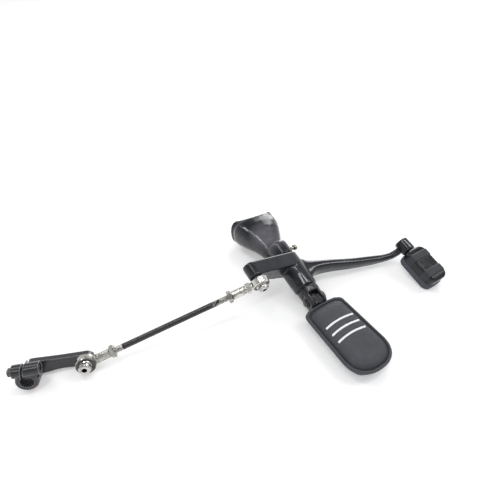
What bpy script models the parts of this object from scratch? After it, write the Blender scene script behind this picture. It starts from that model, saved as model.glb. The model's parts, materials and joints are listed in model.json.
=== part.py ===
"""Left side forward controls of a motorcycle, lying on a flat surface.

The support bracket carries the shift lever and the footpeg on one pivot axis.
A rod with a ball joint at each end links the lever to the inner shift arm.
Metres, +Z up. Each frame along an axis has its +Z pointing outboard.
"""
import bpy
import bmesh
from math import atan2, copysign, cos, hypot, pi, radians, sin, sqrt
from mathutils import Euler, Matrix, Vector

# Clearances
GAP = 0.0003
BALL_GAP = 0.00025
PIN_GAP = 0.00025
SLOT_GAP = 0.0003

# Resting pose, in the part's own frame
PIN_X = 0.07465
PIN_Y = -0.01715
PIN_HEIGHT = 0.0135
PIVOT_YAW = radians(32)
PIVOT_PITCH = radians(15)
REAR_BALL_X = -0.17755
REAR_BALL_Y = -0.10215
REAR_BALL_HEIGHT = 0.0118
REAR_YAW = radians(10)
REAR_PITCH = radians(-18)
REAR_ROLL = radians(12)

# Shift lever
LEVER_THICKNESS = 0.0185
LEVER_HUB_RADIUS = 0.0160
BARREL_RADIUS = 0.0152
BARREL_LENGTH = 0.0290
BACK_ARM_REACH = 0.060
BACK_ARM_RISE = 0.029
BACK_ARM_END_RADIUS = 0.0086
FRONT_ARM_REACH = 0.1528
FRONT_ARM_RISE = 0.0133
FRONT_ARM_SWEEP = 0.0531
FRONT_ARM_DROP = 0.0062
# Stations along the front arm: shares of the reach, the drop and the sweep, then half its
# thickness and half its height as shares of the lever's thickness and the hub's radius
FRONT_ARM_STATIONS = (
    (0.000, 0.30, 0.045, 0.62, 0.76),
    (0.052, 0.66, 0.150, 0.70, 0.73),
    (0.092, 0.92, 0.272, 0.80, 0.73),
    (0.125, 1.02, 0.287, 0.70, 0.745),
    (0.165, 1.10, 0.300, 0.54, 0.75),
    (0.230, 1.14, 0.337, 0.41, 0.71),
    (0.360, 1.20, 0.450, 0.34, 0.64),
    (0.524, 1.16, 0.630, 0.31, 0.55),
    (0.687, 1.10, 0.780, 0.29, 0.46),
    (0.818, 1.00, 0.895, 0.25, 0.365),
    (0.916, 0.40, 0.970, 0.235, 0.31),
)
FRONT_ARM_END_DROP = 0.0078
PEG_BOSS_RADIUS = 0.0092
PEG_BOSS_LENGTH = 0.018

# Pivot bearing
STUD_RADIUS = 0.00715
BUSHING_WALL = 0.002
BUSHING_LENGTH = 0.016
THRUST_WASHER_THICKNESS = 0.0012
SPRING_WASHER_THICKNESS = 0.0009

# Support bracket
BOSS_RADIUS = 0.0139
BOSS_LENGTH = 0.0227
BOSS_BORE_DEPTH = 0.0165
NECK_WIDTH = 0.029
NECK_HEIGHT = 0.020
NECK_OFFSET = -0.004
NECK_DROP = 0.009
NECK_OVERLAP = 0.013
SADDLE_INBOARD = 0.0905
SADDLE_DROP = 0.0323
SADDLE_FORWARD = 0.0045
SADDLE_WIDTH = 0.068
SADDLE_HEIGHT = 0.0456
SADDLE_TILT = radians(-26)
SADDLE_TURN = radians(-5)
FRAME_TUBE_RADIUS = 0.046
SADDLE_DEPTH = 0.0095
SADDLE_BOLT_SPACING = 0.040
SADDLE_BOLT_RADIUS = 0.0042
SADDLE_BOLT_DEPTH = 0.016

# Lock screw in the side of the boss
LOCK_SCREW_RADIUS = 0.0021
LOCK_SCREW_HEAD_RADIUS = 0.0036
LOCK_SCREW_HEAD_LENGTH = 0.0045
LOCK_SCREW_STANDOUT = 0.0050
LOCK_SCREW_FROM_FRONT = 0.0085
LOCK_SCREW_ANGLE = radians(-5)
LOCK_NUT_FLATS = 0.0075
LOCK_NUT_THICKNESS = 0.0024

# Footpeg clevis and its pin
COLLAR_RADIUS = 0.0137
COLLAR_LENGTH = 0.0078
CLEVIS_WIDTH = 0.0230
CLEVIS_SLOT = 0.0130
# How far inside the collar the round bar lies from which the ears are milled
EAR_INSET = 0.0004
EAR_RADIUS = 0.0105
CLEVIS_PIN_RADIUS = 0.004
CLEVIS_PIN_HEAD_RADIUS = 0.0062
CLEVIS_PIN_HEAD_LENGTH = 0.0022
RETAINING_RING_RADIUS = 0.0054
RETAINING_RING_THICKNESS = 0.001
WAVE_WASHER_THICKNESS = 0.0008

# Footpeg
TONGUE_END_RADIUS = 0.0075
CORE_THICKNESS = 0.0095
CORE_WIDTH = 0.040
CORE_LENGTH = 0.088
PAD_START = 0.0103
PAD_LENGTH = 0.0994
PAD_OFFSET = 0.001
PAD_INNER_WIDTH = 0.0562
PAD_OUTER_WIDTH = 0.0598
PAD_TOP = 0.0066
PAD_RIM_TOP = 0.0036
PAD_SKIRT_BOTTOM = -0.0062
PAD_RIM_WIDTH = 0.0033
PAD_GROOVE_DEPTH = 0.0016
STRIP_WIDTH = 0.0024
STRIP_PROUD = 0.0006
STRIP_DEPTH = 0.0014
STRIP_CHORD = 0.040
STRIP_BOW = 0.0024
STRIP_FIRST = 0.0437
STRIP_PITCH = 0.0102
STRIP_COUNT = 3

# Shifter peg
SHIFT_PEG_LENGTH = 0.0526
SHIFT_PEG_WIDTH = 0.0312
SHIFT_PEG_HEIGHT = 0.0225
SHIFT_PEG_SKIRT = 0.0092
SHIFT_PEG_STEP = 0.0009
SHIFT_PEG_EDGE = 0.0032
SHIFT_PEG_BAND = 0.0095
SHIFT_PEG_BAND_PROUD = 0.0009
SHIFT_PEG_CORE_RADIUS = 0.0062
SHIFT_PEG_STUD_RADIUS = 0.0038
SHIFT_PEG_STUD_LENGTH = 0.015

# Rod ends, rod and jam nuts
ROD_END_HEAD_RADIUS = 0.0105
ROD_END_HEAD_WIDTH = 0.0087
RACE_RADIUS = 0.0093
BALL_RADIUS = 0.00795
BALL_WIDTH = 0.0111
FRONT_ROD_END_LENGTH = 0.0352
FRONT_SHANK_RADIUS = 0.0053
REAR_ROD_END_LENGTH = 0.0275
REAR_SHANK_RADIUS = 0.0049
ROD_END_NECK_RADIUS = 0.0045
FRONT_THREAD_DEPTH = 0.017
REAR_THREAD_DEPTH = 0.0130
ROD_RADIUS = 0.0034
THREAD_RADIUS = 0.0036
THREAD_PITCH = 0.00106
THREAD_SHOWN_FRONT = 0.0145
THREAD_SHOWN_REAR = 0.011
JAM_NUT_FLATS = 0.0127
JAM_NUT_THICKNESS = 0.0046
BALL_BOLT_RADIUS = 0.00385
BALL_BOLT_HEAD_RADIUS = 0.0067
BALL_BOLT_HEAD_LENGTH = 0.0044
BALL_BOLT_SOCKET_FLATS = 0.0048
SPACER_THICKNESS = 0.001
SPACER_RADIUS = 0.0066

# Inner shift arm
INNER_ARM_LENGTH = 0.0539
INNER_ARM_DROP = 0.0110
INNER_ARM_THICKNESS = 0.0075
# Points of the lower edge: shares of the length, and of the depth of eye and clamp together
INNER_ARM_LOWER_EDGE = ((0.20, 0.46), (0.40, 0.50), (0.55, 0.575), (0.69, 0.69), (0.83, 0.79))
INNER_ARM_EYE_RADIUS = 0.0072
CLAMP_RADIUS = 0.0112
CLAMP_FRONT = 0.0110
CLAMP_BACK = -0.0064
SPLINE_RADIUS = 0.0063
SPLINE_DEPTH = 0.0006
SPLINE_COUNT = 18
CLAMP_SLIT = 0.0018
CLAMP_SLIT_OFFSET = 0.0042
PINCH_RISE = 0.0114
PINCH_OUTBOARD = 0.0050
PINCH_LEFT = -0.0138
PINCH_RIGHT = 0.0122
PINCH_TILT = radians(9.5)
CLAMP_LUG_HALF = 0.0090
PINCH_BARREL_RADIUS = 0.0070
PINCH_BOLT_RADIUS = 0.0029
PINCH_HEAD_RADIUS = 0.0045
PINCH_HEAD_LENGTH = 0.0038

# Places along the pivot axis, outboard positive, worked out from the sizes above
LEVER_BACK = -LEVER_THICKNESS / 2
BARREL_END = LEVER_THICKNESS / 2 + BARREL_LENGTH
SPRING_WASHER_START = BARREL_END + GAP
COLLAR_START = SPRING_WASHER_START + SPRING_WASHER_THICKNESS + GAP
PIN_OUTBOARD = COLLAR_START + COLLAR_LENGTH + TONGUE_END_RADIUS + SLOT_GAP
THRUST_WASHER_START = LEVER_BACK - GAP - THRUST_WASHER_THICKNESS
BOSS_FRONT = THRUST_WASHER_START - GAP
BOSS_BACK = BOSS_FRONT - BOSS_LENGTH
LOCK_SCREW_PLACE = BOSS_FRONT - LOCK_SCREW_FROM_FRONT
BUSHING_RADIUS = STUD_RADIUS + PIN_GAP + BUSHING_WALL
ROD_END_BORE = BALL_BOLT_RADIUS + PIN_GAP
FLOOR_LEVEL = -PIN_HEIGHT
FRONT_BALL_OUTBOARD = LEVER_THICKNESS / 2 + GAP + SPACER_THICKNESS + GAP + BALL_WIDTH / 2
INNER_ARM_FRONT = -(BALL_WIDTH / 2 + GAP + SPACER_THICKNESS + GAP)
INNER_ARM_BACK = INNER_ARM_FRONT - INNER_ARM_THICKNESS
SHIFT_PEG_START = PEG_BOSS_LENGTH / 2 + GAP

ROUND = 32


# Scene helpers

def clear_scene():
    for item in list(bpy.data.objects):
        bpy.data.objects.remove(item, do_unlink=True)


def new_collection(name):
    group = bpy.data.collections.new(name)
    bpy.context.scene.collection.children.link(group)
    return group


def frame_empty(name, location, rotation, parent=None):
    item = bpy.data.objects.new(name, None)
    PARTS.objects.link(item)
    item.parent = parent
    item.location = location
    item.rotation_euler = rotation
    return item


def new_material(name, colour, roughness, metallic):
    finish = bpy.data.materials.new(name)
    finish.use_nodes = True
    shader = finish.node_tree.nodes["Principled BSDF"]
    shader.inputs["Base Color"].default_value = (*colour, 1)
    shader.inputs["Roughness"].default_value = roughness
    shader.inputs["Metallic"].default_value = metallic
    return finish


def place(name, mesh, frame, location=(0, 0, 0), rotation=(0, 0, 0), finish=None, group=None):
    item = bpy.data.objects.new(name, mesh)
    (group or PARTS).objects.link(item)
    item.parent = frame
    item.location = location
    item.rotation_euler = rotation
    if finish:
        mesh.materials.append(finish)
    if group is CUTTERS:
        item.hide_render = True
        item.display_type = "WIRE"
    return item


def tool(name, mesh, frame, location=(0, 0, 0), rotation=(0, 0, 0)):
    return place(name, mesh, frame, location, rotation, None, CUTTERS)


def boolean(target, operation, *others):
    for other in others:
        step = target.modifiers.new(operation.lower(), "BOOLEAN")
        step.operation = operation
        step.solver = "EXACT"
        step.object = other
    return target


def cut(target, *others):
    return boolean(target, "DIFFERENCE", *others)


def join(target, *others):
    return boolean(target, "UNION", *others)


# Mesh builders

def mesh_from(name, build):
    shape = bmesh.new()
    build(shape)
    bmesh.ops.recalc_face_normals(shape, faces=shape.faces)
    mesh = bpy.data.meshes.new(name)
    shape.to_mesh(mesh)
    shape.free()
    return mesh


def box_mesh(low, high):
    size = [b - a for a, b in zip(low, high)]
    middle = [(a + b) / 2 for a, b in zip(low, high)]

    def build(shape):
        bmesh.ops.create_cube(shape, size=1)
        bmesh.ops.scale(shape, vec=size, verts=shape.verts)
        bmesh.ops.translate(shape, vec=middle, verts=shape.verts)
    return mesh_from("box", build)


def rod_mesh(radius, start, end, sides=ROUND):
    def build(shape):
        lift = Matrix.Translation((0, 0, (start + end) / 2))
        bmesh.ops.create_cone(shape, cap_ends=True, segments=sides, radius1=radius,
                              radius2=radius, depth=end - start, matrix=lift)
    mesh = mesh_from("rod", build)
    mesh.shade_smooth()
    mesh.set_sharp_from_angle(angle=radians(35))
    return mesh


def prism_mesh(flats, start, end):
    return rod_mesh(flats / sqrt(3), start, end, 6)


def profile_mesh(points, closed):
    mesh = bpy.data.meshes.new("profile")
    edges = [(i, i + 1) for i in range(len(points) - 1)]
    if closed:
        edges.append((len(points) - 1, 0))
    mesh.from_pydata([(r, 0, z) for r, z in points], edges, [])
    return mesh


def add_screw(item, sides=ROUND):
    step = item.modifiers.new("turn", "SCREW")
    step.axis = "Z"
    step.angle = 2 * pi
    step.screw_offset = 0
    step.steps = sides
    step.render_steps = sides
    step.use_merge_vertices = True
    step.merge_threshold = 0.00001
    step.use_smooth_shade = True
    return item


def turned(name, points, frame, location=(0, 0, 0), rotation=(0, 0, 0), finish=None, sides=ROUND,
           closed=False, group=None):
    """Turn a profile of (radius, height) points that runs down its outer side."""
    item = place(name, profile_mesh(points, closed), frame, location, rotation, finish, group)
    return add_screw(item, sides)


def ring(name, outer, inner, start, end, frame, location=(0, 0, 0), rotation=(0, 0, 0),
         finish=None, chamfer=0.0003, sides=24):
    points = [(outer - chamfer, end), (outer, end - chamfer), (outer, start + chamfer),
              (outer - chamfer, start), (inner, start), (inner, end)]
    return turned(name, points, frame, location, rotation, finish, sides, closed=True)


def arc(centre, radius, start, end, steps):
    turn = [start + (end - start) * i / steps for i in range(steps + 1)]
    return [(centre[0] + radius * cos(a), centre[1] + radius * sin(a)) for a in turn]


def hull_of_two(first, first_radius, second, second_radius, steps=14):
    """Outline of two circles and the straight lines that touch both."""
    dx = second[0] - first[0]
    dy = second[1] - first[1]
    heading = atan2(dy, dx)
    lean = pi / 2 - (first_radius - second_radius) / hypot(dx, dy)
    near = arc(first, first_radius, heading + lean, heading + 2 * pi - lean, steps)
    far = arc(second, second_radius, heading - lean, heading + lean, steps)
    return near + far


def plate(name, outline, start, end, frame, location=(0, 0, 0), rotation=(0, 0, 0), finish=None,
          bevel=0.0, group=None):
    """Flat outline in X and Y, filled and extruded from start to end along Z."""
    curve = bpy.data.curves.new(name, "CURVE")
    curve.dimensions = "2D"
    curve.fill_mode = "BOTH"
    curve.extrude = (end - start) / 2
    spline = curve.splines.new("POLY")
    spline.points.add(len(outline) - 1)
    for point, (x, y) in zip(spline.points, outline):
        point.co = (x, y, 0, 1)
    spline.use_cyclic_u = True
    flat = bpy.data.objects.new(name + "_outline", curve)
    bpy.context.scene.collection.objects.link(flat)
    bpy.context.view_layer.update()
    graph = bpy.context.evaluated_depsgraph_get()
    mesh = bpy.data.meshes.new_from_object(flat.evaluated_get(graph))
    bpy.data.objects.remove(flat, do_unlink=True)
    shape = bmesh.new()
    shape.from_mesh(mesh)
    bmesh.ops.remove_doubles(shape, verts=shape.verts, dist=0.00001)
    bmesh.ops.translate(shape, vec=(0, 0, (start + end) / 2), verts=shape.verts)
    bmesh.ops.dissolve_limit(shape, angle_limit=radians(0.5), verts=shape.verts, edges=shape.edges)
    bmesh.ops.recalc_face_normals(shape, faces=shape.faces)
    shape.to_mesh(mesh)
    shape.free()
    mesh.materials.clear()
    item = place(name, mesh, frame, location, rotation, finish, group)
    if bevel:
        step = item.modifiers.new("edge", "BEVEL")
        step.width = bevel
        step.segments = 2
        step.limit_method = "ANGLE"
        step.angle_limit = radians(50)
    return item


def loft_mesh(rings):
    """Skin a list of rings that have the same number of points, and close both ends."""
    def build(shape):
        rows = [[shape.verts.new(point) for point in row] for row in rings]
        count = len(rings[0])
        for lower, upper in zip(rows, rows[1:]):
            for i in range(count):
                j = (i + 1) % count
                shape.faces.new((lower[i], lower[j], upper[j], upper[i]))
        shape.faces.new(rows[0][::-1])
        shape.faces.new(rows[-1])
    return mesh_from("loft", build)


def round_section(half_width, half_height, power, count):
    """Superellipse: power 2 is an ellipse, a high power is nearly a rectangle."""
    points = []
    for i in range(count):
        a = 2 * pi * (i + 0.5) / count
        x = copysign(abs(cos(a)) ** (2 / power), cos(a))
        y = copysign(abs(sin(a)) ** (2 / power), sin(a))
        points.append((half_width * x, half_height * y))
    return points


def bezier(points, t):
    a, b, c, d = (Vector(p) for p in points)
    s = 1 - t
    return a * s ** 3 + b * 3 * s * s * t + c * 3 * s * t * t + d * t ** 3


def through(rows, steps):
    """Smooth curve through rows of numbers, with steps points from each row to the next."""
    result = []
    last = len(rows) - 1
    for i in range(last):
        before = rows[max(i - 1, 0)]
        after = rows[min(i + 2, last)]
        for k in range(steps):
            t = k / steps
            row = []
            for a, b, c, d in zip(before, rows[i], rows[i + 1], after):
                row.append(b + t * ((c - a) / 2 + t * (a - 2.5 * b + 2 * c - d / 2
                                                       + t * (1.5 * (b - c) + (d - a) / 2))))
            result.append(tuple(row))
    return result + [rows[last]]


def sweep_rings(path, sections, side):
    """Place sections square to a path. Each section's X lies along side."""
    rings = []
    last = len(path) - 1
    for i, (centre, section) in enumerate(zip(path, sections)):
        along = (path[min(i + 1, last)] - path[max(i - 1, 0)]).normalized()
        up = along.cross(side).normalized()
        across = up.cross(along).normalized()
        rings.append([centre + across * x + up * y for x, y in section])
    return rings


def mix(a, b, t):
    return a + (b - a) * t


def ease(t):
    return t * t * (3 - 2 * t)


# Support bracket

def flare_mesh(centre, turn):
    """Neck that leaves the boss and opens into the saddle, ending in a raised lip."""
    inward = turn @ Vector((0, 0, 1))
    root = Vector((NECK_OFFSET, -NECK_DROP, BOSS_BACK + NECK_OVERLAP))
    path_points = [root, root + Vector((0, -0.002, -0.018)), centre + inward * 0.034, centre]
    stations = [0, 0.03, 0.12, 0.24, 0.38, 0.52, 0.66, 0.78, 0.87, 0.92, 0.95, 0.975, 1]
    neck_width = NECK_WIDTH / 2
    neck_height = NECK_HEIGHT / 2
    path = []
    sections = []
    for t in stations:
        spread = ease(max(0, (t - 0.08) / 0.92))
        width = mix(neck_width, SADDLE_WIDTH / 2, spread)
        height = mix(neck_height, SADDLE_HEIGHT / 2, spread)
        waist = 0.0012 if 0.9 < t < 0.96 else 0.0030 * max(0, 1 - t / 0.03)
        path.append(bezier(path_points, t))
        sections.append(round_section(width - waist, height - waist, mix(2.2, 2.75, t), 36))
    side = turn @ Vector((1, 0, 0))
    return loft_mesh(sweep_rings(path, sections, side))


def make_bracket():
    front = BOSS_FRONT
    edge = 0.0008
    crown = 0.0065
    rounding = arc((BOSS_RADIUS - crown, BOSS_BACK + crown), crown, 0, -pi / 2, 6)
    points = [(0, front), (BOSS_RADIUS - edge, front), (BOSS_RADIUS, front - edge)] + rounding
    bracket = turned("support_bracket", points + [(0, BOSS_BACK)], PIVOT, finish=GLOSS_BLACK)
    centre = Vector((SADDLE_FORWARD, -SADDLE_DROP, -SADDLE_INBOARD))
    turn = Euler((SADDLE_TILT, SADDLE_TURN, 0))
    saddle = frame_empty("saddle_frame", centre, turn, PIVOT)
    flare = tool("bracket_flare", flare_mesh(centre, turn.to_matrix()), PIVOT)
    bore = tool("bracket_bore", rod_mesh(STUD_RADIUS + PIN_GAP, front - BOSS_BORE_DEPTH, front + 0.002),
                PIVOT)
    tube_centre = SADDLE_DEPTH - FRAME_TUBE_RADIUS
    tube = tool("frame_tube", rod_mesh(FRAME_TUBE_RADIUS, -0.05, 0.05, 64), saddle,
                (0, 0, tube_centre), (pi / 2, 0, 0))
    join(bracket, flare)
    cut(bracket, bore, tube)
    for side in (-1, 1):
        hole = tool("saddle_hole", rod_mesh(SADDLE_BOLT_RADIUS, -0.02, SADDLE_BOLT_DEPTH, 20), saddle,
                    (side * SADDLE_BOLT_SPACING / 2, 0, 0))
        cut(bracket, hole)
    screw = lock_screw_frame()
    spot = tool("lock_screw_spot", rod_mesh(LOCK_NUT_FLATS * 0.72, BOSS_RADIUS - 0.0007,
                                            BOSS_RADIUS + 0.01, 20), screw)
    drill = tool("lock_screw_drill", rod_mesh(LOCK_SCREW_RADIUS + PIN_GAP, 0, BOSS_RADIUS + 0.001, 20),
                 screw)
    cut(bracket, spot, drill)
    return bracket


def lock_screw_frame():
    existing = bpy.data.objects.get("lock_screw_frame")
    if existing:
        return existing
    turn = Matrix.Rotation(LOCK_SCREW_ANGLE, 3, "Z") @ Matrix.Rotation(pi / 2, 3, "Y")
    return frame_empty("lock_screw_frame", (0, 0, LOCK_SCREW_PLACE), turn.to_euler(), PIVOT)


def make_lock_screw():
    screw = lock_screw_frame()
    seat = BOSS_RADIUS - 0.0007 + GAP
    nut_top = seat + LOCK_NUT_THICKNESS
    head = nut_top + LOCK_SCREW_STANDOUT
    top = head + LOCK_SCREW_HEAD_LENGTH
    edge = 0.0006
    tip = STUD_RADIUS + GAP
    wide = LOCK_SCREW_HEAD_RADIUS
    thin = LOCK_SCREW_RADIUS
    points = [(0, top), (wide - edge, top), (wide, top - edge), (wide, head + edge), (wide - edge, head),
              (thin, head), (thin, tip + edge), (thin - edge, tip), (0, tip)]
    turned("lock_screw", points, screw, finish=DARK_STEEL, sides=20)
    hex_nut("lock_screw_nut", LOCK_NUT_FLATS, thin + PIN_GAP, seat, nut_top, screw, finish=BRIGHT_STEEL)


def hex_nut(name, flats, bore, start, end, frame, location=(0, 0, 0), rotation=(0, 0, 0), finish=None):
    """Hexagon nut with both faces chamfered and a plain bore."""
    nut = place(name, prism_mesh(flats, start, end), frame, location, rotation, finish)
    corner = flats / sqrt(3)
    slope = (corner - flats / 2) * 0.6
    points = [(0, end), (flats / 2 * 0.97, end), (corner, end - slope), (corner, start + slope),
              (flats / 2 * 0.97, start), (0, start)]
    barrel = turned(name + "_chamfer", points, frame, location, rotation, sides=24, group=CUTTERS)
    hole = tool(name + "_bore", rod_mesh(bore, start - 0.001, end + 0.001, 24), frame, location, rotation)
    boolean(nut, "INTERSECT", barrel)
    return cut(nut, hole)


# Shift lever

def front_arm_mesh():
    """Front arm: bar that leaves the hub with wide fillets, sweeps outboard and rises to the peg boss."""
    stations = []
    for along, drop, sweep, thick, tall in FRONT_ARM_STATIONS:
        stations.append((along * FRONT_ARM_REACH, -drop * FRONT_ARM_DROP, sweep * FRONT_ARM_SWEEP,
                         thick * LEVER_THICKNESS, tall * LEVER_HUB_RADIUS))
    last = stations[-1]
    stations.append((FRONT_ARM_REACH - PEG_BOSS_RADIUS * 0.4, FRONT_ARM_RISE - FRONT_ARM_END_DROP,
                     FRONT_ARM_SWEEP * 0.99, last[3], last[4]))
    path = []
    sections = []
    for x, y, z, thick, tall in through(stations, 2):
        path.append(Vector((x, y, z)))
        sections.append(round_section(thick, tall, 3.0, 20))
    return loft_mesh(sweep_rings(path, sections, Vector((-0.25, 0, 1))))


def make_lever():
    hub = LEVER_HUB_RADIUS
    edge = 0.0012
    top = LEVER_THICKNESS / 2
    neck = top + BARREL_LENGTH * 0.42
    points = [(0, BARREL_END), (BARREL_RADIUS - 0.0006, BARREL_END), (BARREL_RADIUS, BARREL_END - 0.0006)]
    for i in range(7):
        t = i / 6
        points.append((mix(BARREL_RADIUS + 0.0004, hub - 0.0002, t ** 2.2), mix(neck, top - 0.001, t)))
    points += [(hub - 0.0002, LEVER_BACK + edge), (hub - edge, LEVER_BACK), (0, LEVER_BACK)]
    lever = turned("shift_lever", points, PIVOT, finish=GLOSS_BLACK, sides=40)
    bolt_place = (-BACK_ARM_REACH, BACK_ARM_RISE)
    outline = hull_of_two((0, 0), hub, bolt_place, BACK_ARM_END_RADIUS)
    arm = plate("lever_back_arm", outline, LEVER_BACK, top, PIVOT, bevel=0.0014, group=CUTTERS)
    front = tool("lever_front_arm", front_arm_mesh(), PIVOT)
    boss_edge = 0.001
    half = PEG_BOSS_LENGTH / 2
    wide = PEG_BOSS_RADIUS
    boss_points = [(0, half), (wide - boss_edge, half), (wide, half - boss_edge),
                   (wide, -half + boss_edge), (wide - boss_edge, -half), (0, -half)]
    boss = turned("lever_peg_boss", boss_points, SHIFT_PEG, sides=ROUND, group=CUTTERS)
    join(lever, arm, front, boss)
    bore = tool("lever_bore", rod_mesh(BUSHING_RADIUS + GAP, LEVER_BACK - 0.002, BARREL_END + 0.002),
                PIVOT)
    bolt_hole = tool("lever_bolt_hole", rod_mesh(ROD_END_BORE, LEVER_BACK - 0.002, top + 0.002, 24),
                     PIVOT, (*bolt_place, 0))
    peg_hole = tool("lever_peg_hole", rod_mesh(SHIFT_PEG_STUD_RADIUS + PIN_GAP,
                                               SHIFT_PEG_START - SHIFT_PEG_STUD_LENGTH - GAP,
                                               half + 0.002, 24), SHIFT_PEG)
    return cut(lever, bore, bolt_hole, peg_hole)


def make_bearing():
    inner = STUD_RADIUS + PIN_GAP
    ring("hub_bushing_inner", BUSHING_RADIUS, inner, LEVER_BACK + 0.0005,
         LEVER_BACK + 0.0005 + BUSHING_LENGTH, PIVOT, finish=BRONZE)
    ring("hub_bushing_outer", BUSHING_RADIUS, inner, BARREL_END - 0.0005 - BUSHING_LENGTH,
         BARREL_END - 0.0005, PIVOT, finish=BRONZE)
    ring("thrust_washer", BOSS_RADIUS - 0.0022, inner, THRUST_WASHER_START,
         THRUST_WASHER_START + THRUST_WASHER_THICKNESS, PIVOT, finish=DARK_STEEL)
    ring("hub_spring_washer", COLLAR_RADIUS - 0.0004, inner, SPRING_WASHER_START,
         SPRING_WASHER_START + SPRING_WASHER_THICKNESS, PIVOT, finish=DARK_STEEL)


# Footpeg clevis

def make_clevis():
    """Stud, collar and two ears in one piece."""
    edge = 0.0009
    end = COLLAR_START + COLLAR_LENGTH
    stud_end = BOSS_FRONT - BOSS_BORE_DEPTH + GAP
    points = [(0, end), (COLLAR_RADIUS - edge, end), (COLLAR_RADIUS, end - edge),
              (COLLAR_RADIUS, COLLAR_START + 0.0004), (COLLAR_RADIUS - 0.0004, COLLAR_START),
              (STUD_RADIUS, COLLAR_START), (STUD_RADIUS, stud_end + edge), (STUD_RADIUS - edge, stud_end),
              (0, stud_end)]
    clevis = turned("footpeg_clevis", points, PIVOT, finish=SATIN_BLACK, sides=40)
    back = -(PIN_OUTBOARD - end) - 0.002
    outline = [(back, EAR_RADIUS), (back, -EAR_RADIUS)]
    outline += arc((0, 0), EAR_RADIUS, -pi / 2, pi / 2, 14)
    half = CLEVIS_WIDTH / 2
    ears = plate("clevis_ears", outline, -half, half, PIVOT, (0, 0, PIN_OUTBOARD), (0, -pi / 2, 0),
                 bevel=0.0011, group=CUTTERS)
    reach = EAR_RADIUS + 0.002
    bar = tool("clevis_bar", rod_mesh(COLLAR_RADIUS - EAR_INSET, end - 0.004, PIN_OUTBOARD + reach, 40), PIVOT)
    boolean(ears, "INTERSECT", bar)
    slot = tool("clevis_slot", box_mesh((-CLEVIS_SLOT / 2, -reach * 1.5, end),
                                        (CLEVIS_SLOT / 2, reach * 1.5, PIN_OUTBOARD + reach)), PIVOT)
    hole = tool("clevis_pin_hole", rod_mesh(CLEVIS_PIN_RADIUS + PIN_GAP, -half - 0.002, half + 0.002, 24),
                PIVOT, (0, 0, PIN_OUTBOARD), (0, pi / 2, 0))
    join(clevis, ears)
    return cut(clevis, slot, hole)


def make_clevis_pin():
    """Headed pin along the fold axis, with a retaining ring in its groove."""
    place_at = (0, 0, PIN_OUTBOARD)
    turn = (0, pi / 2, 0)
    half = CLEVIS_WIDTH / 2
    head = half + GAP
    top = head + CLEVIS_PIN_HEAD_LENGTH
    edge = 0.0006
    radius = CLEVIS_PIN_RADIUS
    wide = CLEVIS_PIN_HEAD_RADIUS
    ring_out = -half - GAP
    groove_in = ring_out - RETAINING_RING_THICKNESS - GAP
    groove = radius - 0.0009
    end = groove_in - 0.0014
    points = [(0, top), (wide - edge, top), (wide, top - edge), (wide, head), (radius, head),
              (radius, ring_out + 0.0001), (groove, ring_out + 0.0001), (groove, groove_in),
              (radius, groove_in), (radius, end + edge), (radius - edge, end), (0, end)]
    turned("clevis_pin", points, PIVOT, place_at, turn, DARK_STEEL, 24)
    clip = ring("clevis_pin_ring", RETAINING_RING_RADIUS, groove + GAP, ring_out - RETAINING_RING_THICKNESS,
                ring_out, PIVOT, place_at, turn, DARK_STEEL, 0.0002, 24)
    mouth = tool("clevis_pin_ring_mouth", box_mesh((-0.0022, -0.008, ring_out - 0.004),
                                                   (0.0022, 0, ring_out + 0.001)), PIVOT, place_at, turn)
    cut(clip, mouth)
    inner = CLEVIS_SLOT / 2 - GAP
    ring("clevis_wave_washer", 0.0070, CLEVIS_PIN_RADIUS + PIN_GAP, inner - WAVE_WASHER_THICKNESS, inner,
         PIVOT, place_at, turn, DARK_STEEL, 0.0002, 24)


# Footpeg, in a frame whose origin is on the fold axis

def pad_outline(inset, corner_steps=8):
    """Plan of the pad in X and Z, moved inwards by inset: bowed inner edge, cut corners, round tip."""
    start = PAD_START + inset
    end = PAD_START + PAD_LENGTH - inset
    inner_half = PAD_INNER_WIDTH / 2 - inset
    outer_half = PAD_OUTER_WIDTH / 2 - inset
    shoulder = start + 0.0075
    tip_start = end - outer_half * 0.93
    edge_half = inner_half * 0.70
    right = [(edge_half, start + 0.0012), (inner_half * 0.93, start + 0.0045), (inner_half, shoulder)]
    right += [(mix(inner_half, outer_half, 0.5), mix(shoulder, tip_start, 0.5))]
    steps = corner_steps * 2
    tip = []
    for i in range(steps + 1):
        a = pi / 2 * i / steps
        x = outer_half * abs(cos(a)) ** (2 / 2.35)
        z = (end - tip_start) * abs(sin(a)) ** (2 / 2.35)
        tip.append((x, tip_start + z))
    half = [(edge_half * 0.5, start + 0.0003)] + right + tip
    mirrored = [(-x, z) for x, z in reversed(half) if x > 0.00001]
    return [(0, start)] + half + mirrored


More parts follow.
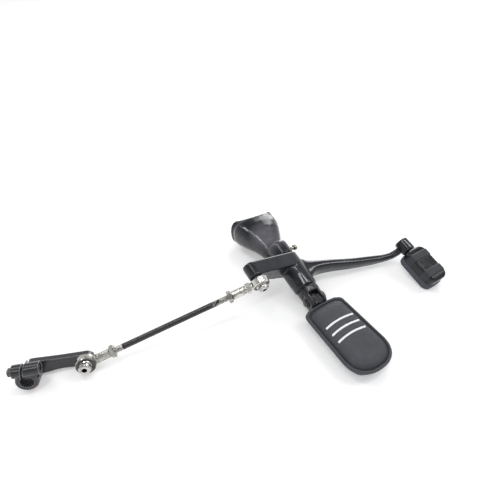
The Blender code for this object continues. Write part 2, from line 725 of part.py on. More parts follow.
def make_pad():
    """Rubber pad: skirt, rim, groove and a raised pillow, in one moulding."""
    levels = [(0.0042, PAD_SKIRT_BOTTOM), (0.0026, PAD_SKIRT_BOTTOM + 0.0008),
              (0.0008, PAD_SKIRT_BOTTOM + 0.0055), (0, PAD_RIM_TOP - 0.0030),
              (0, PAD_RIM_TOP - 0.0007), (0.0008, PAD_RIM_TOP), (PAD_RIM_WIDTH - 0.0009, PAD_RIM_TOP),
              (PAD_RIM_WIDTH, PAD_RIM_TOP - PAD_GROOVE_DEPTH),
              (PAD_RIM_WIDTH + 0.0008, PAD_RIM_TOP - PAD_GROOVE_DEPTH),
              (PAD_RIM_WIDTH + 0.0022, PAD_RIM_TOP + 0.0004), (0.0082, PAD_TOP - 0.0010),
              (0.0120, PAD_TOP - 0.0002), (0.0160, PAD_TOP)]
    rings = [[(x, y, z) for x, z in pad_outline(inset)] for inset, y in levels]
    pad = place("footpeg_pad", loft_mesh(rings), PAD, finish=RUBBER)
    pocket_low = PAD_SKIRT_BOTTOM - 0.002
    pocket_high = FLOOR_LEVEL + CORE_THICKNESS + GAP
    pocket = plate("pad_pocket", core_outline(GAP), -pocket_high, -pocket_low, PEG,
                   rotation=(pi / 2, 0, 0), group=CUTTERS)
    mouth_half = CLEVIS_SLOT / 2 + GAP
    mouth = tool("pad_mouth", box_mesh((-mouth_half, pocket_low, PAD_START - 0.002),
                                       (mouth_half, 0.001, PAD_START + 0.006)), PEG)
    cut(pad, pocket, mouth)
    for i in range(STRIP_COUNT):
        seat = tool("strip_seat", strip_mesh(i, GAP), PAD)
        cut(pad, seat)
    return pad


def strip_mesh(index, clearance):
    """Thin bar bent to an arc that bows towards the bracket."""
    start = STRIP_FIRST + STRIP_PITCH * index
    half = STRIP_CHORD / 2
    radius = (half ** 2 + STRIP_BOW ** 2) / (2 * STRIP_BOW)
    reach = atan2(half, radius - STRIP_BOW) + clearance / radius
    centre_z = start + radius - STRIP_BOW
    low = PAD_TOP - STRIP_DEPTH - clearance
    high = PAD_TOP + (STRIP_PROUD if not clearance else 0.002)
    width = STRIP_WIDTH / 2 + clearance
    rings = []
    steps = 12
    for i in range(steps + 1):
        a = -reach + 2 * reach * i / steps
        row = []
        for offset, y in ((-width, low), (width, low), (width, high), (-width, high)):
            r = radius - offset
            row.append((r * sin(a), y, centre_z - r * cos(a)))
        rings.append(row)
    return loft_mesh(rings)


def make_strips():
    for i in range(STRIP_COUNT):
        strip = place("pad_strip_%d" % (i + 1), strip_mesh(i, 0), PAD, finish=BRIGHT_STEEL)
        step = strip.modifiers.new("edge", "BEVEL")
        step.width = 0.0004
        step.segments = 1
        step.limit_method = "ANGLE"
        step.angle_limit = radians(50)


def core_outline(clearance):
    """Plan of the core plate in X and Z."""
    half = CORE_WIDTH / 2 + clearance
    start = PAD_START + 0.004 - clearance
    end = PAD_START + 0.004 + CORE_LENGTH + clearance
    corner = 0.013
    outline = [(half - 0.007, start), (half, start + 0.008), (half, end - corner)]
    outline += [(half - corner + x, end - corner + z) for x, z in arc((0, 0), corner, 0, pi / 2, 5)][1:]
    mirrored = [(-x, z) for x, z in reversed(outline)]
    return outline + mirrored


def make_core():
    """Tongue between the ears and the plate under the pad, cast as one."""
    half = CLEVIS_SLOT / 2
    right = half - GAP - WAVE_WASHER_THICKNESS - GAP
    left = -half + GAP
    root = PAD_START + 0.012
    outline = arc((0, 0), TONGUE_END_RADIUS, pi / 2, 3 * pi / 2, 14)
    outline += [(PAD_START * 0.8, -TONGUE_END_RADIUS), (PAD_START, FLOOR_LEVEL + 0.0008),
                (root, FLOOR_LEVEL + 0.0008), (root, FLOOR_LEVEL + CORE_THICKNESS - 0.0008),
                (PAD_START + 0.0015, FLOOR_LEVEL + CORE_THICKNESS - 0.0008),
                (PAD_START - 0.0007, 0.0), (PAD_START - 0.0007, TONGUE_END_RADIUS * 0.8),
                (PAD_START - 0.0023, TONGUE_END_RADIUS)]
    tongue = plate("footpeg_core", outline, -right, -left, PEG, rotation=(0, -pi / 2, 0),
                   finish=SATIN_BLACK)
    base = plate("core_plate", core_outline(0), -(FLOOR_LEVEL + CORE_THICKNESS), -FLOOR_LEVEL, PEG,
                 rotation=(pi / 2, 0, 0), group=CUTTERS, bevel=0.0008)
    hole = tool("tongue_hole", rod_mesh(CLEVIS_PIN_RADIUS + PIN_GAP, -0.012, 0.012, 24), PEG,
                rotation=(0, pi / 2, 0))
    join(tongue, base)
    return cut(tongue, hole)


# Shifter peg, in a frame at the middle of the lever's peg boss

def rounded_box_rings(half_x, low, high, start, end, corner, edge):
    """Rings of a block along Z whose plan corners and top edges are round."""
    rings = []
    steps = 6
    stations = []
    for i in range(steps + 1):
        a = pi / 2 * i / steps
        reach = corner * (1 - sin(a))
        inset = corner * (1 - cos(a))
        stations.append((start + reach, inset))
        stations.append((end - reach, inset))
    for z, inset in sorted(stations):
        half = half_x - inset
        lift = min(inset * 0.35, edge)
        top = high - lift
        row = [(-half, low), (half, low)]
        for i in range(5):
            a = pi / 2 * i / 4
            row.append((half - edge + edge * cos(a), top - edge + edge * sin(a)))
        for i in range(5):
            a = pi / 2 + pi / 2 * i / 4
            row.append((-half + edge + edge * cos(a), top - edge + edge * sin(a)))
        rings.append([(x, y, z) for x, y in row])
    return rings


def make_shift_peg():
    """Rubber cover with a skirt, a narrower upper body and two raised bands across it."""
    start = SHIFT_PEG_START
    end = start + SHIFT_PEG_LENGTH
    half = SHIFT_PEG_WIDTH / 2
    low = -SHIFT_PEG_HEIGHT / 2
    skirt_top = low + SHIFT_PEG_SKIRT
    high = SHIFT_PEG_HEIGHT / 2
    step = SHIFT_PEG_STEP
    corner = 0.0095
    skirt = rounded_box_rings(half, low, skirt_top, start, end, corner, 0.0012)
    cover = place("shifter_peg_rubber", loft_mesh(skirt), SHIFT_PEG, finish=RUBBER)
    upper = tool("shifter_peg_upper", loft_mesh(rounded_box_rings(
        half - step, low + 0.002, high, start + step * 0.5, end - step, corner - step, SHIFT_PEG_EDGE)), SHIFT_PEG)
    join(cover, upper)
    for centre in (start + 0.0135, end - 0.0140):
        band = rounded_box_rings(half - step + GAP, skirt_top - 0.003,
                                 high + SHIFT_PEG_BAND_PROUD, centre - SHIFT_PEG_BAND / 2,
                                 centre + SHIFT_PEG_BAND / 2, 0.0007, SHIFT_PEG_EDGE)
        join(cover, tool("shifter_peg_band", loft_mesh(band), SHIFT_PEG))
    bore_end = end - 0.008
    bore = tool("shifter_peg_bore", rod_mesh(SHIFT_PEG_CORE_RADIUS + GAP, start - 0.002, bore_end, 24),
                SHIFT_PEG)
    cut(cover, bore)
    core = SHIFT_PEG_CORE_RADIUS
    stud = SHIFT_PEG_STUD_RADIUS
    tip = start - SHIFT_PEG_STUD_LENGTH
    top = bore_end - GAP
    core_points = [(0, top), (core - 0.0006, top), (core, top - 0.0006), (core, start), (stud, start),
                   (stud, tip + 0.0006), (stud - 0.0006, tip), (0, tip)]
    turned("shifter_peg_core", core_points, SHIFT_PEG, finish=DARK_STEEL, sides=24)


def socket_screw(name, shank, head, head_length, socket, tip, seat, frame, location, rotation, finish,
                 domed=False):
    """Screw along Z from tip to seat, with its head above the seat and a hexagon socket."""
    top = seat + head_length
    edge = 0.0006
    if domed:
        side = head_length * 0.36
        points = [(0, top), (head * 0.50, top)]
        rise = head_length - side
        points += [(head * mix(0.50, 1, t), seat + side + rise * sqrt(1 - t ** 2.4))
                   for t in (0.3, 0.55, 0.78, 0.93, 1)]
    else:
        points = [(0, top), (head - edge, top), (head, top - edge)]
    points += [(head, seat + 0.0002), (head - 0.0002, seat), (shank, seat), (shank, tip + edge),
               (shank - edge, tip), (0, tip)]
    screw = turned(name, points, frame, location, rotation, finish, 28)
    depth = head_length * 0.55
    key = tool(name + "_socket", prism_mesh(socket, top - depth, top + 0.002), frame, location, rotation)
    return cut(screw, key)


# Rod ends and rod. A housing frame has +X along the shank and +Z along the ring

def housing_rotation(ring_axis, shank):
    x = shank.normalized()
    z = (ring_axis - x * ring_axis.dot(x)).normalized()
    y = z.cross(x)
    return Matrix((x, y, z)).transposed().to_euler()


def make_rod_end(prefix, frame, length, radius, depth):
    """Housing with a female shank and wrench flats, and the race pressed into it."""
    half = ROD_END_HEAD_WIDTH / 2
    outer = ROD_END_HEAD_RADIUS
    edge = 0.0009
    bore = RACE_RADIUS + GAP
    points = [(outer - edge, half), (outer, half - edge), (outer, -half + edge), (outer - edge, -half),
              (bore, -half), (bore, half)]
    housing = turned(prefix + "_rod_end", points, frame, finish=BRIGHT_STEEL, closed=True, sides=40)
    shoulder = length * 0.55
    shank_points = [(0, length), (radius - 0.0007, length), (radius, length - 0.0007), (radius, shoulder),
                    (ROD_END_NECK_RADIUS, shoulder - 0.001), (ROD_END_NECK_RADIUS, 0.0100), (0, 0.0100)]
    shank = turned(prefix + "_shank", shank_points, frame, rotation=(0, pi / 2, 0), sides=24,
                   group=CUTTERS)
    flats = tool(prefix + "_flats", prism_mesh(radius * 2.05, 0.0122, length * 0.5), frame,
                 rotation=(0, pi / 2, 0))
    thread = tool(prefix + "_thread", rod_mesh(THREAD_RADIUS + GAP, length - depth, length + 0.002, 20), frame,
                  rotation=(0, pi / 2, 0))
    join(housing, shank, flats)
    cut(housing, thread)
    sphere = BALL_RADIUS + BALL_GAP
    race_half = half - 0.0003
    reach = atan2(race_half, sqrt(sphere ** 2 - race_half ** 2))
    inner = [(sphere * cos(a), sphere * sin(a)) for a in (-reach + 2 * reach * i / 6 for i in range(7))]
    race_points = [(RACE_RADIUS, race_half), (RACE_RADIUS, -race_half)] + inner
    turned(prefix + "_race", race_points, frame, finish=DARK_STEEL, closed=True, sides=24)


def make_ball(prefix, frame, location=(0, 0, 0)):
    half = BALL_WIDTH / 2
    reach = atan2(half, sqrt(BALL_RADIUS ** 2 - half ** 2))
    outer = [(BALL_RADIUS * cos(a), BALL_RADIUS * sin(a)) for a in (reach - 2 * reach * i / 8
                                                                    for i in range(9))]
    points = outer + [(ROD_END_BORE, -half), (ROD_END_BORE, half)]
    turned(prefix + "_ball", points, frame, location, finish=BRIGHT_STEEL, closed=True, sides=24)


def make_ball_bolt(prefix, frame, ball_centre, tip):
    """Bolt through the ball, its head on the outboard face, and the spacer behind the ball."""
    seat = ball_centre[2] + BALL_WIDTH / 2 + GAP
    socket_screw(prefix + "_ball_bolt", BALL_BOLT_RADIUS, BALL_BOLT_HEAD_RADIUS, BALL_BOLT_HEAD_LENGTH,
                 BALL_BOLT_SOCKET_FLATS, tip, seat, frame, (ball_centre[0], ball_centre[1], 0), (0, 0, 0),
                 BRIGHT_STEEL, domed=True)
    behind = ball_centre[2] - BALL_WIDTH / 2 - GAP
    ring(prefix + "_spacer", SPACER_RADIUS, ROD_END_BORE, behind - SPACER_THICKNESS, behind, frame,
         (ball_centre[0], ball_centre[1], 0), finish=DARK_STEEL, sides=24)


def thread_profile(start, end):
    """Crests and roots of an exposed thread, listed from end down to start."""
    turns = max(2, round((end - start) / THREAD_PITCH))
    pitch = (end - start) / turns
    points = []
    for i in range(turns):
        high = end - pitch * i
        points += [(THREAD_RADIUS, high - pitch * 0.25), (THREAD_RADIUS - 0.00045, high - pitch * 0.75)]
    return points


def make_rod(frame, length):
    """Rod along Z from the rear rod end to the front one, with its threads and jam nuts."""
    spare = 0.002
    front_face = length / 2 - FRONT_ROD_END_LENGTH
    rear_face = REAR_ROD_END_LENGTH - length / 2
    front_nut = front_face - GAP - JAM_NUT_THICKNESS
    rear_nut = rear_face + GAP + JAM_NUT_THICKNESS
    top = front_face + FRONT_THREAD_DEPTH - spare
    bottom = rear_face - REAR_THREAD_DEPTH + spare
    core = THREAD_RADIUS - 0.0004
    points = [(0, top), (core, top), (THREAD_RADIUS, top - 0.0006), (THREAD_RADIUS, front_nut - 0.0004)]
    points += thread_profile(front_nut - THREAD_SHOWN_FRONT, front_nut - 0.0006)
    points += [(ROD_RADIUS, front_nut - THREAD_SHOWN_FRONT - 0.0008),
               (ROD_RADIUS, rear_nut + THREAD_SHOWN_REAR + 0.0008)]
    points += thread_profile(rear_nut + 0.0006, rear_nut + THREAD_SHOWN_REAR)
    points += [(THREAD_RADIUS, rear_nut + 0.0004), (THREAD_RADIUS, bottom + 0.0006), (core, bottom),
               (0, bottom)]
    turned("shift_rod", points, frame, finish=SATIN_BLACK, sides=16)
    bore = THREAD_RADIUS + PIN_GAP
    hex_nut("front_jam_nut", JAM_NUT_FLATS, bore, front_nut, front_face - GAP, frame, finish=BRIGHT_STEEL)
    hex_nut("rear_jam_nut", JAM_NUT_FLATS, bore, rear_face + GAP, rear_nut, frame, rotation=(0, 0, 0.35),
            finish=BRIGHT_STEEL)


# Inner shift arm, in a frame at the rear ball

def spline_mesh(start, end):
    """Serrated shaft that cuts the splined bore."""
    def ring_at(z):
        row = []
        for i in range(SPLINE_COUNT * 4):
            a = 2 * pi * (i + 0.5) / (SPLINE_COUNT * 4)
            r = SPLINE_RADIUS + (SPLINE_DEPTH if i % 4 < 2 else 0)
            row.append((r * cos(a), r * sin(a), z))
        return row
    return loft_mesh([ring_at(start), ring_at(end)])


def inner_arm_outline(clamp):
    """Plan of the arm: straight top, and a lower edge that hollows before it reaches the clamp."""
    eye = arc((0, -0.0006), INNER_ARM_EYE_RADIUS, radians(98), radians(-104), 12)
    depth = INNER_ARM_DROP + CLAMP_RADIUS
    lower = [(-along * INNER_ARM_LENGTH, -down * depth) for along, down in INNER_ARM_LOWER_EDGE]
    end = arc((clamp[0], clamp[1] + 0.0010), CLAMP_RADIUS * 0.80, radians(-75), radians(-245), 10)
    top = [(clamp[0], -0.0008), (clamp[0] * 0.5, 0.0025)]
    return eye + through(lower, 2) + end + top


def make_inner_arm():
    clamp = (-INNER_ARM_LENGTH, -INNER_ARM_DROP)
    back = INNER_ARM_BACK
    front = CLAMP_FRONT
    arm = plate("inner_shift_arm", inner_arm_outline(clamp), back, INNER_ARM_FRONT, REAR,
                finish=SATIN_BLACK, bevel=0.0012)
    edge = 0.0012
    root = INNER_ARM_FRONT - 0.002
    points = [(0, front), (CLAMP_RADIUS - edge, front), (CLAMP_RADIUS, front - edge),
              (CLAMP_RADIUS, CLAMP_BACK + edge), (CLAMP_RADIUS - edge, CLAMP_BACK),
              (CLAMP_RADIUS - edge, root), (0, root)]
    boss = turned("clamp_boss", points, REAR, (*clamp, 0), sides=32, group=CUTTERS)
    pinch_y = clamp[1] + PINCH_RISE
    pinch_z = PINCH_OUTBOARD
    slit_x = clamp[0] - CLAMP_SLIT_OFFSET
    pinch = frame_empty("pinch_frame", (clamp[0], pinch_y, pinch_z), (0, pi / 2, PINCH_TILT),
                        REAR)
    right = PINCH_RIGHT
    left = PINCH_LEFT
    barrel = tool("pinch_barrel", rod_mesh(PINCH_BARREL_RADIUS, left, right, 28), pinch)
    lug_back = pinch_z - PINCH_BARREL_RADIUS + 0.0006
    lug_front = pinch_z + PINCH_BARREL_RADIUS - 0.0014
    lug = tool("clamp_lug", box_mesh((clamp[0] - CLAMP_LUG_HALF, clamp[1] + 0.0008, lug_back),
                                     (clamp[0] + CLAMP_LUG_HALF, pinch_y, lug_front)), REAR)
    join(arm, boss, lug, barrel)
    bore = tool("clamp_bore", spline_mesh(back - 0.002, front + 0.002), REAR, (*clamp, 0))
    slit = tool("clamp_slit", box_mesh((slit_x - CLAMP_SLIT / 2, clamp[1] + 0.0013, back - 0.002),
                                       (slit_x + CLAMP_SLIT / 2, pinch_y + 0.02, front + 0.002)), REAR)
    drill = tool("pinch_drill", rod_mesh(PINCH_BOLT_RADIUS + PIN_GAP, left - 0.01, right + 0.01, 20), pinch)
    recess = tool("pinch_recess", rod_mesh(PINCH_HEAD_RADIUS - 0.0002, right - 0.0022, right + 0.01, 24),
                  pinch)
    bolt_hole = tool("inner_arm_hole", rod_mesh(ROD_END_BORE, back - 0.002, 0, 24), REAR)
    cut(arm, bore, slit, drill, recess, bolt_hole)
    socket_screw("pinch_bolt", PINCH_BOLT_RADIUS, PINCH_HEAD_RADIUS, PINCH_HEAD_LENGTH, 0.0038,
                 -right + 0.0008, -left + GAP, pinch, (0, 0, 0), (pi, 0, 0), DARK_STEEL)
    return arm


# Assembly

clear_scene()
PARTS = new_collection("forward_controls")
CUTTERS = new_collection("cutters")

GLOSS_BLACK = new_material("gloss_black_paint", (0.022, 0.024, 0.028), 0.18, 0.0)
SATIN_BLACK = new_material("satin_black_coating", (0.030, 0.031, 0.034), 0.42, 0.0)
RUBBER = new_material("black_rubber", (0.045, 0.046, 0.050), 0.72, 0.0)
BRIGHT_STEEL = new_material("nickel_plated_steel", (0.62, 0.60, 0.56), 0.28, 1.0)
DARK_STEEL = new_material("dark_steel", (0.12, 0.12, 0.12), 0.38, 0.9)
BRONZE = new_material("bearing_bronze", (0.42, 0.28, 0.13), 0.45, 0.9)

PIVOT_TURN = (pi / 2 + PIVOT_PITCH, 0, PIVOT_YAW)
OUTBOARD = Vector((sin(PIVOT_YAW) * cos(PIVOT_PITCH), -cos(PIVOT_YAW) * cos(PIVOT_PITCH),
                   -sin(PIVOT_PITCH)))
PIN_PLACE = Vector((PIN_X, PIN_Y, PIN_HEIGHT))
PIVOT = frame_empty("pivot_axis", PIN_PLACE - OUTBOARD * PIN_OUTBOARD, PIVOT_TURN)
PEG = frame_empty("fold_axis", PIN_PLACE, (pi / 2, 0, PIVOT_YAW))
PAD = frame_empty("pad_axis", (PAD_OFFSET, 0, 0), (0, 0, 0), PEG)
REAR = frame_empty("rear_ball_axis", (REAR_BALL_X, REAR_BALL_Y, REAR_BALL_HEIGHT),
                   (pi / 2 + REAR_PITCH, REAR_ROLL, REAR_YAW))
SHIFT_PEG = frame_empty("shifter_peg_axis", (FRONT_ARM_REACH, FRONT_ARM_RISE, FRONT_ARM_SWEEP), (0, 0, 0),
                        PIVOT)
bpy.context.view_layer.update()

FRONT_BALL_LOCAL = (-BACK_ARM_REACH, BACK_ARM_RISE, FRONT_BALL_OUTBOARD)
FRONT_BALL = PIVOT.matrix_world @ Vector(FRONT_BALL_LOCAL)
REAR_BALL = Vector((REAR_BALL_X, REAR_BALL_Y, REAR_BALL_HEIGHT))
ROD_VECTOR = FRONT_BALL - REAR_BALL
ROD_FRAME = frame_empty("rod_axis", (FRONT_BALL + REAR_BALL) / 2,
                        ROD_VECTOR.to_track_quat("Z", "Y").to_euler())
FRONT_END = frame_empty("front_housing_axis", FRONT_BALL,
                        housing_rotation(PIVOT.matrix_world.to_3x3().col[2], -ROD_VECTOR))
REAR_END = frame_empty("rear_housing_axis", REAR_BALL,
                       housing_rotation(REAR.matrix_world.to_3x3().col[2], ROD_VECTOR))

make_bracket()
make_lock_screw()
make_lever()
make_bearing()
make_clevis()
make_clevis_pin()
make_core()
make_pad()
make_strips()
make_shift_peg()
make_rod_end("front", FRONT_END, FRONT_ROD_END_LENGTH, FRONT_SHANK_RADIUS, FRONT_THREAD_DEPTH)
make_rod_end("rear", REAR_END, REAR_ROD_END_LENGTH, REAR_SHANK_RADIUS, REAR_THREAD_DEPTH)
make_ball("front", PIVOT, FRONT_BALL_LOCAL)
make_ball("rear", REAR)
make_ball_bolt("front", PIVOT, FRONT_BALL_LOCAL, LEVER_BACK + 0.001)
make_ball_bolt("rear", REAR, (0, 0, 0), INNER_ARM_BACK + 0.001)
make_rod(ROD_FRAME, ROD_VECTOR.length)
make_inner_arm()
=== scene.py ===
import json
from math import cos, floor, pi, radians, sin

import bmesh
import bpy
from mathutils import Matrix, Vector


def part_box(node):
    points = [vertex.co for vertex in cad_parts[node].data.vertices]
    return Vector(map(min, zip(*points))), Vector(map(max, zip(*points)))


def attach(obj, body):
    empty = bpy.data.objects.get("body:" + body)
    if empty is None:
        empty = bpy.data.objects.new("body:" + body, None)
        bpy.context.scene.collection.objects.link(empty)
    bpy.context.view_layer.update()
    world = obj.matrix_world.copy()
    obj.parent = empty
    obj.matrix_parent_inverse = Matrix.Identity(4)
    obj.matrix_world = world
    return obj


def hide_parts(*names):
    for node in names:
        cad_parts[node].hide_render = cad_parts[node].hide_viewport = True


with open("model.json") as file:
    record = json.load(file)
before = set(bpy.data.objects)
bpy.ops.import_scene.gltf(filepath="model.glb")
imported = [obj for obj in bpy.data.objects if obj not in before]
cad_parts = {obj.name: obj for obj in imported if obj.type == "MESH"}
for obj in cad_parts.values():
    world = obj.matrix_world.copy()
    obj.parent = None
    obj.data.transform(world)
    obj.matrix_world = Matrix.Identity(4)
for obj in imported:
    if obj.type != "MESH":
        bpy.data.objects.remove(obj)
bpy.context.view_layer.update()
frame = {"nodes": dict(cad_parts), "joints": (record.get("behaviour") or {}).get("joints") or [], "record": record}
NODES = frame["nodes"]
JOINTS = {joint["name"]: joint for joint in frame["joints"]}
BODIES = frame["record"]["behaviour"]["bodies"]
BODY_OF = {node: body for body, members in BODIES.items() for node in members}
DRESSED = {}

# Axes and places, taken from the joints
PIVOT = Vector(JOINTS["lever_pivot"]["pos_m"])
OUTBOARD = Vector(JOINTS["lever_pivot"]["axis"])
FORWARD = -Vector(JOINTS["footpeg_fold"]["axis"])
FRONT_BALL = Vector(JOINTS["front_ball_turn"]["pos_m"])
REAR_BALL = Vector(JOINTS["rear_arm_turn"]["pos_m"])
REAR_BOLT_AXIS = Vector(JOINTS["rear_arm_turn"]["axis"])
ROD_AXIS = (FRONT_BALL - REAR_BALL).normalized()
ROD_MIDDLE = (FRONT_BALL + REAR_BALL) / 2

# Cast and moulded pieces: voxel size and smoothing passes
CAST_PIECES = {
    "support_bracket": (0.0007, 10),
    "shift_lever": (0.00065, 10),
    "footpeg_clevis": (0.00045, 5),
    "footpeg_pad": (0.0005, 4),
    "shifter_peg_rubber": (0.00035, 3),
    "inner_shift_arm": (0.00042, 5),
}
SMOOTHING = 0.5

# Turned and milled pieces: width of their broken edges
MACHINED_PIECES = {
    "front_rod_end": 0.00035, "rear_rod_end": 0.00035,
    "front_ball_bolt": 0.0002, "rear_ball_bolt": 0.0002,
    "front_jam_nut": 0.0003, "rear_jam_nut": 0.0003,
    "lock_screw": 0.0002, "lock_screw_nut": 0.0002, "pinch_bolt": 0.0002,
    "footpeg_core": 0.0004, "clevis_pin": 0.0002, "clevis_pin_ring": 0.00015,
    "front_ball": 0.0001, "rear_ball": 0.0001, "front_race": 0.0001, "rear_race": 0.0001,
    "pad_strip_1": 0.0002, "pad_strip_2": 0.0002, "pad_strip_3": 0.0002,
}
BEVEL_SEGMENTS = 2
BEVEL_ANGLE = 40
SHARP_ANGLE = 38

# Shift peg: place, up direction, start of its rubber, bands and top of its skirt
PEG_PLACE = Vector((0.204904, 0.062746, 0.026929))
PEG_UP = Vector((0.137153, -0.219491, 0.965926))
PEG_START = 0.0092
PEG_BANDS = (PEG_START + 0.0135, PEG_START + 0.0526 - 0.0140)
PEG_BAND_HALF = 0.00475
PEG_SKIRT_TOP = -0.00205
PEG_SKIRT_BLUR = 0.0006

# Socket in the head of a ball bolt
SOCKET_RADIUS = 0.0026

# Rod and its thread
ROD_RADIUS = 0.0034
ROD_SIDES = 40
THREAD_RADIUS = 0.0036
THREAD_DEPTH = 0.00042
THREAD_PITCH = 0.00106
THREAD_SHOWN_FRONT = 0.0145
THREAD_SHOWN_REAR = 0.011
THREAD_RUNOUT = 0.0016
TOOTH_STEEPNESS = 1.5
TOOTH_FLOOR = 0.1
ROWS_PER_PITCH = 7
PLAIN_STEP = 0.008

# Rod coating: distances from a nut between which it ends, and between which chips set in
FRONT_BARE = (0.0145, 0.0095)
REAR_BARE = (0.0085, 0.0105)
CHIP_ZONE = (0.029, 0.015)
CHIP_SHARE = 0.70
CHIP_LIMIT = 0.86
CHIP_LIMIT_DROP = 0.56
CHIP_EDGE = 0.04
ROD_TONES = [(0.3, (0.006, 0.0065, 0.0075)), (0.8, (0.014, 0.014, 0.016))]
THREAD_TONES = [(0.35, (0.24, 0.23, 0.21)), (0.65, (0.66, 0.65, 0.62))]

# Paint and coating: tones as ramps or single colours
PAINT_TONES = [(0.3, (0.0075, 0.0087, 0.0120)), (0.75, (0.014, 0.0158, 0.0215))]
# Grey painted reflection laid on the middle of the flare
PAINTED_REFLECTION_TONES = [(0.3, (0.086, 0.082, 0.096)), (0.75, (0.134, 0.128, 0.148))]
RUBBED_PAINT = (0.09, 0.09, 0.10)
PAINT_RUST = (0.16, 0.045, 0.025)
COATING_LOW = (0.010, 0.0105, 0.0135)
COATING_HIGH = (0.022, 0.0225, 0.028)
# Painted highlight along the coating's sharpest edges
COATING_RIM_HIGHLIGHT = (0.24, 0.24, 0.25)
RUBBED_COATING = (0.22, 0.22, 0.23)
COATING_RUST = (0.10, 0.040, 0.026)

# Rubber: tint, gains of its bloom and of its rims (wear and painted highlight), tones of the painted shade in
# grooves and along band edges, and the tone of each part
RUBBER_TINT = (0.90, 0.97, 1.14)
BLOOM_GAIN = 1.35
RIM_HIGHLIGHT_GAIN = 2.2
GROOVE_SHADE_TONE = (0.006, 0.008, 0.009)
DUST_TONE = (0.30, 0.30, 0.31)
BAND_EDGE_SHADE_TONE = (0.003, 0.003, 0.004)
PAD_TONE = 0.042
PEG_PANEL_TONE = 0.009
PEG_BAND_TONE = 0.036
PEG_SKIRT_TONE = 0.070

# Plating: grime in pits, and painted shade in sockets
PIT_TONE = (0.10, 0.085, 0.07)
SOCKET_SHADE_TONE = (0.018, 0.016, 0.014)

# Pointiness is about 0.5 on a flat place, less in a groove and more on an edge
PAINT_EDGE = (0.56, 0.66)
COATING_EDGE = (0.53, 0.60)
# Pointiness over which the coating's painted highlight sets in
COATING_RIM_EDGE = (0.508, 0.53)
RUBBER_GROOVE = (0.462, 0.496)
RUBBER_EDGE = (0.512, 0.54)

# Limits between which most of a noise's values lie
NOISE_LOW = 0.3
NOISE_HIGH = 0.7

# Uneven edge of a spot
SPOT_WOBBLE = 0.0015
SPOT_NOISE = 700
RUST_SOFTNESS = 0.8
# Soft edge of the painted reflection
PAINTED_REFLECTION_SOFTNESS = 0.9

# Floor
FLOOR_SIZE = 6
FLOOR_HEIGHT = -0.0003
FLOOR_COLOUR = (0.80, 0.80, 0.805, 1)
FLOOR_GLOW = 0.31

# Studio: strength of the walls and of the ceiling, and the heights between which it changes
STUDIO_TONE = (0.975, 0.985, 1.0, 1)
WALL_STRENGTH = 0.88
CEILING_STRENGTH = 0.30
WALL_TOP = 0.36
CEILING_EDGE = 0.68

# Lamps: name, place, target, size and power
LAMPS = (
    ("zenith", (-0.21, -0.22, 2.23), (0.05, 0, 0.03), (0.1, 1.1), 5.2),
    ("right", (0.93, 0.44, 2.01), (0.07, 0, 0.03), (0.11, 1.1), 6.4),
    ("window", (0.64, 2.27, 0.88), (0.02, 0.05, 0.04), (1.01, 1.89), 28.6),
    ("arm", (1.53, 0.32, 1.72), (0.14, 0.03, 0.03), (0.37, 0.66), 7.0),
    ("tall", (-0.95, 0.49, 1.93), (0.05, 0.03, 0.03), (0.16, 1.90), 11.0),
    ("front_left", (-0.68, -0.98, 1.91), (-0.2, -0.1, 0.02), (0.22, 0.88), 3.9),
)

# Camera, in metres, degrees and millimetres
CAMERA_PLACE = (-0.00363, -0.30466, 0.3751)
CAMERA_DOWN = 44
CAMERA_LENS = 27.04
SENSOR = 36


# Mesh helpers

def copy_of(name):
    piece = bpy.data.objects.new(name + "_finish", NODES[name].data.copy())
    bpy.context.scene.collection.objects.link(piece)
    return piece


def apply_modifiers(piece):
    bpy.context.view_layer.update()
    graph = bpy.context.evaluated_depsgraph_get()
    mesh = bpy.data.meshes.new_from_object(piece.evaluated_get(graph))
    piece.modifiers.clear()
    piece.data = mesh
    mesh.shade_smooth()
    return mesh


def stand_in(piece, name):
    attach(piece, BODY_OF[name])
    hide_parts(name)
    DRESSED[name] = piece


def cast(name, voxel, passes):
    """Round a solid's edges and inner corners, as casting and moulding do."""
    piece = copy_of(name)
    remesh = piece.modifiers.new("cast", "REMESH")
    remesh.mode = "VOXEL"
    remesh.voxel_size = voxel
    remesh.use_smooth_shade = True
    soften = piece.modifiers.new("soften", "SMOOTH")
    soften.factor = SMOOTHING
    soften.iterations = passes
    apply_modifiers(piece)
    stand_in(piece, name)


def machined(name, width):
    """Break the sharp edges of a turned or milled solid."""
    piece = copy_of(name)
    edge = piece.modifiers.new("edge", "BEVEL")
    edge.width = width
    edge.segments = BEVEL_SEGMENTS
    edge.limit_method = "ANGLE"
    edge.angle_limit = radians(BEVEL_ANGLE)
    edge.use_clamp_overlap = True
    apply_modifiers(piece).set_sharp_from_angle(angle=radians(SHARP_ANGLE))
    stand_in(piece, name)


# Shader helpers

def shader_of(name):
    finish = bpy.data.materials.new(name)
    finish.use_nodes = True
    tree = finish.node_tree
    return finish, tree, tree.nodes["Principled BSDF"]


def add_node(tree, kind, values=None, **settings):
    item = tree.nodes.new(kind)
    for key, value in settings.items():
        setattr(item, key, value)
    for key, value in (values or {}).items():
        item.inputs[key].default_value = value
    return item


def feed(tree, socket, value):
    """Set a socket to a number, or link it to an output."""
    if isinstance(value, (int, float)):
        socket.default_value = value
    else:
        tree.links.new(value, socket)


def place_of(tree):
    return add_node(tree, "ShaderNodeTexCoord").outputs["Object"]


def pointiness(tree):
    return add_node(tree, "ShaderNodeNewGeometry").outputs["Pointiness"]


def noise(tree, scale, detail=4.0, roughness=0.55, distortion=0.0):
    item = add_node(tree, "ShaderNodeTexNoise", {"Scale": scale, "Detail": detail,
                                                 "Roughness": roughness,
                                                 "Distortion": distortion})
    tree.links.new(place_of(tree), item.inputs["Vector"])
    return item.outputs["Fac"]


